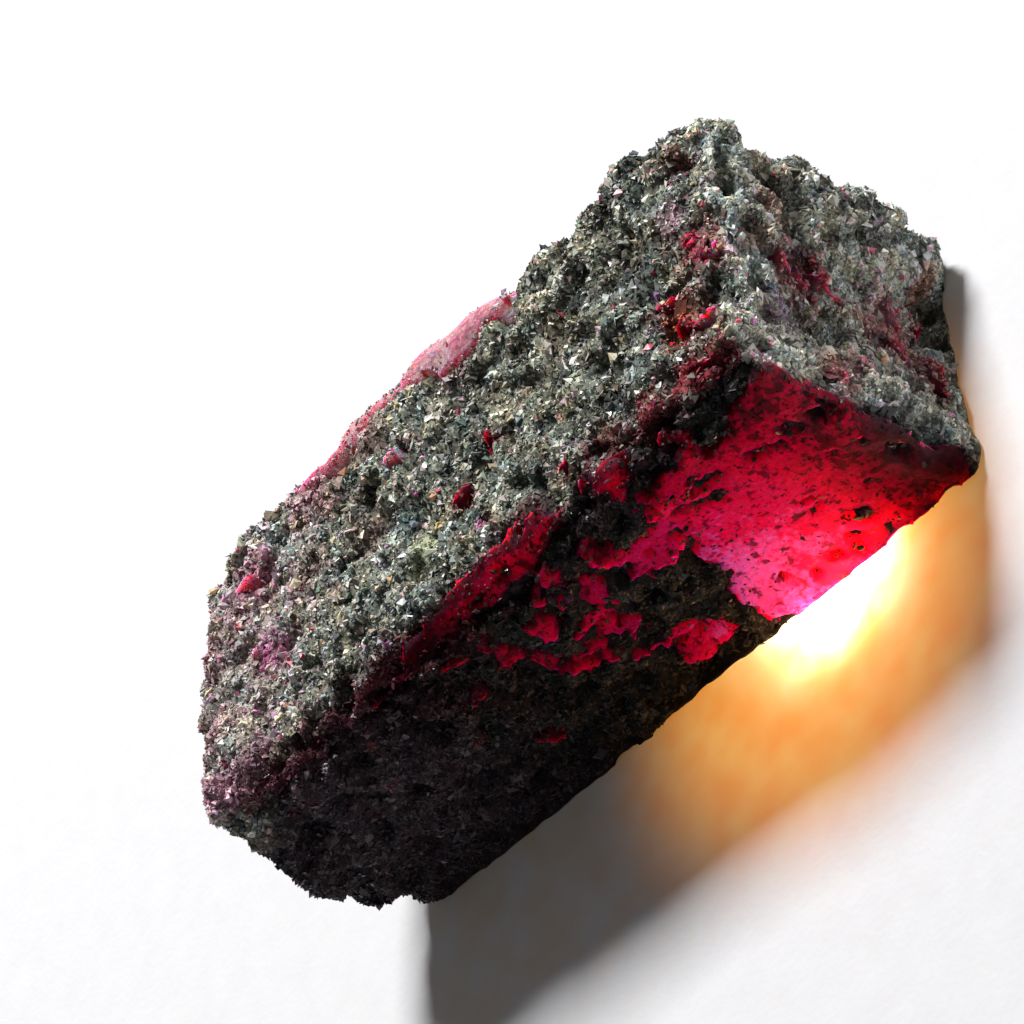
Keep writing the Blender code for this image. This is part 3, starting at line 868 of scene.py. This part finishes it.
def crust_height(places, depth):
    """How far the crust's surface is from the CAD's, lumpy and pitted, diving at the windows' edges."""
    lumps = sum(amount * noise_at(places, size, 1.0 + size) for size, amount in CRUST_LUMPS)
    height = lumps - CRUST_SUNK
    height = np.where(height < CRUST_LOWEST, CRUST_LOWEST + 0.3 * (height - CRUST_LOWEST), height)
    height = np.where(height > 0.0, CRUST_HIGHEST * np.tanh(height / CRUST_HIGHEST), height)
    height = height - pit_share(places)[1]
    edge = smooth_step(*CRUST_EDGE, depth)
    return height * (1.0 - edge) - CRUST_EDGE_SUNK * edge


def make_crust(places, normals, quads, depth, height):
    """The crust as a skin over the ruby, open at the windows."""
    kept = quads[(depth[quads] < CRUST_ENDS).any(axis=1)]
    used, kept = np.unique(kept, return_inverse=True)
    kept = kept.reshape(-1, 4)
    moved = move_out(places, normals, height)
    mesh = mesh_from_arrays("matrix_crust", moved[used], kept)
    mesh.shade_smooth()
    places, normals = places[used], normals[used]
    ground = np.tile(np.array(GROUND), (len(used), 1))
    point_colours(mesh, weather(np.random.default_rng(SEED), ground, places, normals, depth[used]))
    box_map(mesh, places, normals, kept)
    mesh.materials.append(crust_material())
    return mesh


def box_map(mesh, places, normals, faces):
    """A map of the stone's six sides laid side by side, so that its colours can be stored."""
    facing = normals[faces].mean(axis=1)
    side = np.argmax(np.concatenate([facing, -facing], axis=1), axis=1)
    low, high = places.min(0), places.max(0)
    x, y, z = ((places - low) / (high - low).max()).T
    # Each side's corner on a square sheet of this width, and its two directions there.
    width = 2.1
    sheet = {
        4: (0.01, 0.01, x, z),
        1: (0.01, 0.40, x, z),
        2: (0.01, 0.80, x, y),
        5: (1.05, 0.01, x, y),
        0: (1.05, 0.48, y, z),
        3: (1.55, 0.48, y, z),
    }
    uv = np.zeros((*faces.shape, 2), np.float32)
    for number, (corner_u, corner_v, along, across) in sheet.items():
        here = side == number
        uv[here, :, 0] = (corner_u + along[faces[here]]) / width
        uv[here, :, 1] = (corner_v + across[faces[here]]) / width
    mesh.uv_layers.new(name="OFBake").data.foreach_set("uv", uv.ravel())


# -------- grains


def block_form():
    """A slanted brick, as amphibole and mica break: 8 corners, 12 triangles."""
    corners = np.array([(x, y, z) for z in (-1, 1) for y in (-1, 1) for x in (-1, 1)], float)
    corners[:, 0] += 0.35 * corners[:, 1]
    corners[:, 1] += 0.20 * corners[:, 2]
    quads = ((0, 2, 3, 1), (4, 5, 7, 6), (0, 1, 5, 4), (2, 6, 7, 3), (0, 4, 6, 2), (1, 3, 7, 5))
    return corners, np.array([t for a, b, c, d in quads for t in ((a, b, c), (a, c, d))])


def chip_form():
    """A sharp chip with two tips and five corners round its waist: 7 corners, 10 triangles."""
    turns = [math.radians(72 * k) for k in range(5)]
    corners = np.array([(math.cos(a), math.sin(a), 0.0) for a in turns] + [(0, 0, 1.0), (0, 0, -1.0)])
    triangles = [(k, (k + 1) % 5, 5) for k in range(5)] + [((k + 1) % 5, k, 6) for k in range(5)]
    return corners, np.array(triangles)


def shard_form():
    """A sharp four-cornered shard, the smallest grit: 4 corners, 4 triangles."""
    corners = np.array([(1, 1, 1), (1, -1, -1), (-1, 1, -1), (-1, -1, 1)]) / math.sqrt(3.0)
    return corners, np.array([(0, 1, 2), (0, 3, 1), (0, 2, 3), (1, 3, 2)])


FORMS = {"block": block_form, "chip": chip_form, "shard": shard_form}


def random_frames(draw, normals, lie_flat):
    """A turned frame for each grain, whose third axis leans to the surface's normal by lie_flat."""
    count = len(normals)
    third = unit(normals * lie_flat + unit(draw.normal(size=(count, 3))))
    first = unit(np.cross(third, unit(draw.normal(size=(count, 3)))))
    return np.stack([first, np.cross(third, first), third], axis=2)


def scatter(draw, surface, count, keep):
    """Places spread by area over the skin, thinned by keep, on the crust or the ruby."""
    places, normals, quads, height = surface
    triangles = np.concatenate([quads[:, (0, 1, 2)], quads[:, (0, 2, 3)]])
    a, b, c = (places[triangles[:, k]] for k in range(3))
    areas = np.linalg.norm(np.cross(b - a, c - a), axis=1)
    found = []
    while sum(len(f[0]) for f in found) < count:
        chosen = triangles[draw.choice(len(triangles), size=count, p=areas / areas.sum())]
        s, t = draw.random((2, count))
        over = s + t > 1.0
        s[over], t[over] = 1.0 - s[over], 1.0 - t[over]
        share = np.stack([1.0 - s - t, s, t], axis=1)
        at = (places[chosen] * share[:, :, None]).sum(1)
        facing = unit((normals[chosen] * share[:, :, None]).sum(1))
        depth = bare_depth(at, facing)
        kept = draw.random(count) < keep(at, facing, depth)
        found.append((at[kept], facing[kept], depth[kept], (height[chosen] * share).sum(1)[kept]))
    return [np.concatenate(column)[:count] for column in zip(*found)]


def keep_matrix(at, facing, depth, specks=WINDOW_SPECKS):
    """Grains lie thickly on the crust, thinly in the windows but more on top and at the end, none below."""
    low, high = specks
    lit = np.maximum(smooth_step(0.75, 0.93, facing[:, 2]), smooth_step(0.4, 0.8, facing[:, 0]))
    lit = lit * (1.0 + 0.9 * smooth_step(11.5, 13.0, at[:, 0]))
    fringe = 0.3 * smooth_step(0.8, 0.0, depth) * smooth_step(8.5, 10.5, at[:, 2])
    specks = np.maximum(low + (high - low) * lit, fringe) * (1.0 - 0.55 * dust_share(at))
    specks = np.maximum(specks, high * smooth_step(0.2, 0.6, facing[:, 1]))
    here = np.maximum(smooth_step(*FRINGE, depth), specks * smooth_step(3.0, 0.3, depth))
    off_the_sole = facing[:, 2] > -0.93
    return here * (at[:, 2] > LOWEST_GRAIN) * off_the_sole


def keep_grit(at, facing, depth):
    """Grit stays on the crust."""
    return keep_matrix(at, facing, depth, GRIT_SPECKS)


def keep_corundum(at, facing, depth):
    """Loose pink corundum shows most at the ends and in drifts."""
    x = at[:, 0]
    ends = 0.20 + 0.8 * smooth_step(-4.0, -14.0, x) + 0.6 * smooth_step(12.0, 16.0, x)
    drifts = 0.3 + 1.2 * smooth_step(0.0, 0.5, noise_at(at, 1.6, 11.0))
    on_crust = keep_matrix(at, facing, depth) * np.clip(ends * drifts, 0.0, 1.0)
    return np.maximum(on_crust, 0.9 * dust_share(at) * (depth > 0.0) * (at[:, 2] > LOWEST_GRAIN))


def keep_feldspar(at, facing, depth):
    """Pale grains gather in drifts."""
    drifts = 0.25 + 0.9 * smooth_step(-0.1, 0.5, noise_at(at, 1.4, 17.0))
    return keep_matrix(at, facing, depth) * np.clip(drifts, 0.0, 1.0)


KEEPERS = {
    "corundum_grains": keep_corundum,
    "feldspar_grains": keep_feldspar,
    "dark_grit": keep_grit,
    "pale_grit": keep_grit,
}


def weather(draw, tint, at, facing, depth):
    """Tints with the crust's drifts, painted light and shade by side, its red rims, the front's painted
    shade, stains with painted shade among them, and painted shade with dark matrix in the pits laid over.
    """
    warm = 0.01 + 0.16 * noise_at(at, 1.1, 25.0)[:, None]
    drift = 0.36 * noise_at(at, 1.2, 21.0) + 0.20 * noise_at(at, 0.55, 23.0)
    tint = tint * np.exp(drift[:, None]) * (1.0 + warm * np.array((1.0, 0.1, -0.7)))

    # Brighter without going past white, and with less colour as it does.
    # Painted light on the right and left ends and painted shade on the back, by which way each point faces.
    right = END_PAINTED_LIGHT * smooth_step(0.2, 0.7, facing[:, 0])
    left = LEFT_PAINTED_LIGHT * smooth_step(-6.0, -14.0, at[:, 0]) * smooth_step(-0.9, -0.3, facing[:, 0])
    back = BACK_PAINTED_SHADE * smooth_step(0.1, 0.7, facing[:, 1])
    gain = BRIGHTER * ((1.0 + right + left) * (1.0 - back))[:, None]
    grey = tint.mean(axis=1, keepdims=True)
    tint = gain * tint / (1.0 + gain * (0.6 * tint + 0.4 * grey))

    red = RIM_RED * smooth_step(*RIM, depth + RIM_RAGGED * draw.normal(size=len(at)))[:, None]
    red = red * (1.0 - dust_share(at))[:, None]
    tint = tint * (1.0 - red) + np.array(REDDER) * red
    # Painted shade over the front, darker still by the lamps.
    front_shade = FRONT_PAINTED_SHADE * front_shade_share(at, facing)[:, None]
    by_lamps = smooth_step(-9.0, -1.0, at[:, 0])[:, None]
    shade_colour = np.array(FRONT_SHADE_COLOUR) * (1.0 - by_lamps) + np.array(LAMP_SHADE_COLOUR) * by_lamps
    tint = tint * (1.0 - front_shade) + shade_colour * front_shade

    side, u, v = charts(at, facing)
    # Stains, some of them painted shade.
    for chart, stains_and_shade in STAINS_AND_SHADE:
        for middle_u, middle_v, radius, colour, strength in stains_and_shade:
            away = np.hypot(u - middle_u, v - middle_v) / radius + STAIN_RAGGED * draw.normal(size=len(at))
            share = strength * smooth_step(*STAIN_FADES, away) * (side == chart)
            tint = tint * (1.0 - share[:, None]) + np.array(srgb(*colour)) * share[:, None]
    # Painted shade with dark matrix in the pits between clumps, less at the left end.
    pit_shade_and_dirt = PIT_SHADE_AND_DIRT * (1.0 - 0.5 * smooth_step(-7.0, -12.0, at[:, 0]))
    tint = tint * (1.0 - pit_shade_and_dirt * pit_share(at)[0] * (depth < 0.0))[:, None]
    return np.clip(tint, *TINT_LIMITS)


def grain_tints(draw, recipe, at, facing, depth):
    """Each grain's own colour: its mineral's, which clumps share, weathered."""
    colours, shares = zip(*recipe["colours"])
    colours = np.array([srgb(*colour) for colour in colours])
    ends = np.cumsum(shares) / sum(shares)
    pick = 0.5 + CLUMP_MOVES * noise_at(at, CLUMP, 31.0) + CHANCE_MOVES * draw.normal(size=len(at))
    tint = colours[np.minimum(np.searchsorted(ends, pick % 1.0), len(colours) - 1)]
    tint = tint * np.exp(TINT_VARIES[0] * draw.normal(size=(len(at), 1)))
    tint = tint * (1.0 + TINT_VARIES[1] * draw.normal(size=(len(at), 3)))
    return weather(draw, tint, at, facing, depth)


def varied(draw, size, spread, low, high):
    """Factors that vary round 1."""
    return np.clip(1.0 + spread * draw.normal(size=size), low, high)


def make_grains(name, recipe, surface, draw):
    """All the grains of one mineral, as one mesh."""
    keep = KEEPERS.get(name, keep_matrix)
    at, facing, depth, height = scatter(draw, surface, recipe["count"], keep)
    count = len(at)
    corners, faces = FORMS[recipe["form"]]()
    size = recipe["size"] * np.clip(np.exp(recipe["spread"] * draw.normal(size=count)), *GRAIN_SIZES)
    size = size * np.where(depth > 0.0, WINDOW_GRAIN, 1.0)
    turned = random_frames(draw, facing, LIE_FLAT if recipe["shape"][2] < FLAKE else LIE_LOOSE)
    shape = np.array(recipe["shape"]) * varied(draw, (count, 3), *SHAPE_VARIES)
    local = corners[None] * shape[:, None]
    local = local * varied(draw, (count, len(corners), 1), *REACH_VARIES)
    local = local + CORNER_SHIFT * draw.normal(size=local.shape)
    local = local * size[:, None, None] * 0.5
    lift = np.where(depth > 0.0, -RUBY_BARE_SUNK, height)
    lift = lift + (draw.uniform(*STANDS_OUT, count) - recipe["sink"]) * size
    world = np.einsum("nij,nkj->nki", turned, local) + (at + facing * lift[:, None])[:, None]
    verts = world.reshape(-1, 3)
    verts[:, 2] = np.maximum(verts[:, 2], LOWEST_POINT)
    starts = np.arange(count) * len(corners)
    mesh = mesh_from_arrays(name, verts, (faces[None] + starts[:, None, None]).reshape(-1, 3))
    point_colours(mesh, np.repeat(grain_tints(draw, recipe, at, facing, depth), len(corners), axis=0))
    cell_map(mesh, count, len(faces))
    mesh.shade_flat()
    mesh.materials.append(grain_material(name, recipe["roughness"]))
    return mesh


def cell_map(mesh, count, faces_each):
    """A map that gives each grain a cell of its own, so that its tint can be stored."""
    across = math.ceil(math.sqrt(count))
    grain = np.repeat(np.arange(count), faces_each * 3)
    corner = np.tile(np.array([(0.15, 0.15), (0.85, 0.15), (0.5, 0.85)]), (count * faces_each, 1))
    cell = np.stack([grain % across, grain // across], axis=1)
    uv = (cell + corner) / across
    mesh.uv_layers.new(name="OFBake").data.foreach_set("uv", uv.astype(np.float32).ravel())


# -------- stage


def make_camera():
    """The photograph's view, turned as the picture is."""
    data = bpy.data.cameras.new("camera")
    data.lens = CAMERA_LENS
    data.sensor_width = CAMERA_SENSOR
    data.clip_start = CAMERA_CLIP * MM
    camera = add_object("camera", data)
    back = Vector(
        (
            math.sin(CAMERA_AZIMUTH) * math.cos(CAMERA_ELEVATION),
            -math.cos(CAMERA_AZIMUTH) * math.cos(CAMERA_ELEVATION),
            math.sin(CAMERA_ELEVATION),
        )
    )
    upright = back.to_track_quat("Z", "Y").to_matrix().to_4x4()
    roll = Matrix.Rotation(-CAMERA_ROLL, 4, "Z")
    camera.matrix_world = Matrix.Translation(CAMERA_TARGET + back * CAMERA_DISTANCE) @ upright @ roll
    bpy.context.scene.camera = camera


def soft_light(name, place, size, watts):
    """A soft square light aimed at the stone."""
    data = bpy.data.lights.new(name, "AREA")
    data.shape = "SQUARE"
    data.size = size * MM
    data.energy = watts
    light = add_object(name, data)
    light.location = Vector(place) * MM
    light.rotation_euler = (Vector(LIT_POINT) - Vector(place)).to_track_quat("-Z", "Y").to_euler()


def lamp_below(name, place, size, watts, colour, reach, blur):
    """A lamp under the paper, aimed straight up, that lights a round pool of this radius."""
    data = bpy.data.lights.new(name, "SPOT")
    data.shadow_soft_size = size * MM
    data.energy = watts
    data.color = colour
    data.spot_size = 2.0 * math.atan2(reach, -place[2])
    data.spot_blend = blur
    lamp = add_object(name, data)
    lamp.location = Vector(place) * MM
    lamp.rotation_euler = (math.pi, 0.0, 0.0)


def make_stage():
    """Paper under the stone, warm lamps below it, daylight from behind and a dim sky."""
    bpy.ops.mesh.primitive_plane_add(size=PAPER_SIDE * MM, location=(0.0, 0.0, 0.0))
    floor = bpy.context.object
    floor.name = "paper"
    floor.data.materials.append(paper_material())

    for name, lamp in LAMPS.items():
        lamp_below(name, *lamp)
    soft_light("daylight", DAYLIGHT_PLACE, DAYLIGHT_SIZE, DAYLIGHT_WATTS)

    world = bpy.data.worlds.new("sky")
    world.use_nodes = True
    sky = world.node_tree.nodes["Background"]
    sky.inputs["Color"].default_value = (*SKY_COLOUR, 1.0)
    sky.inputs["Strength"].default_value = SKY
    bpy.context.scene.world = world
    bpy.context.scene.view_settings.view_transform = "Standard"


# -------- run


def main():
    """The stage, then the ruby in the CAD solid's place, its crust and the grains of each mineral."""
    make_camera()
    make_stage()
    places, normals, quads = fine_skin()
    depth = bare_depth(places, normals)
    height = crust_height(places, depth)
    body = add_piece("ruby_body", make_ruby(places, normals, quads, depth))
    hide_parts(NODE)
    add_piece("matrix_crust", make_crust(places, normals, quads, depth, height))
    draw = np.random.default_rng(SEED)
    surface = (places, normals, quads, height)
    for name, recipe in MINERALS.items():
        add_piece(name, make_grains(name, recipe, surface, draw))


main()
